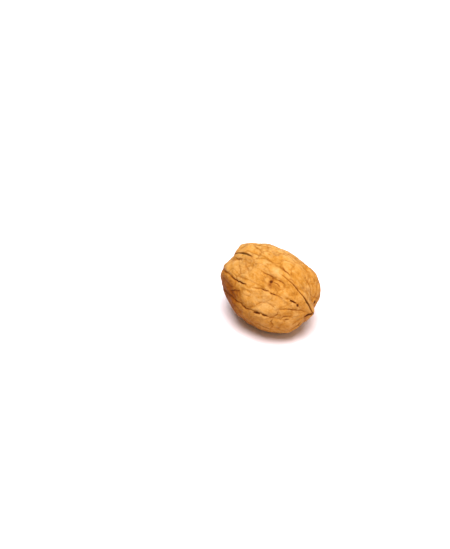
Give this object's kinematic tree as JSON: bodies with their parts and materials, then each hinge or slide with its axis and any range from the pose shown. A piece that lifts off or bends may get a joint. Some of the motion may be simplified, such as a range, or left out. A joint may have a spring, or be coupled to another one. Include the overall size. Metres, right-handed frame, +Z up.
{
  "type": "walnut",
  "caption": "Whole walnut in its furrowed tan shell, with a raised seam and a pointed tip, lying on its side on a small flat spot.",
  "frame": {"origin": "middle of the nut's outline seen from above, on the surface that it rests on", "axes": "+X along the nut towards its pointed tip, which dips, +Y across the cheeks, +Z up; the seam's top line leans to -Y"},
  "size_m": [0.043, 0.0338, 0.0312],
  "materials": {
    "shell": "satin"
  },
  "bodies": {
    "root": {"walnut": "shell"}
  },
  "joints": []
}
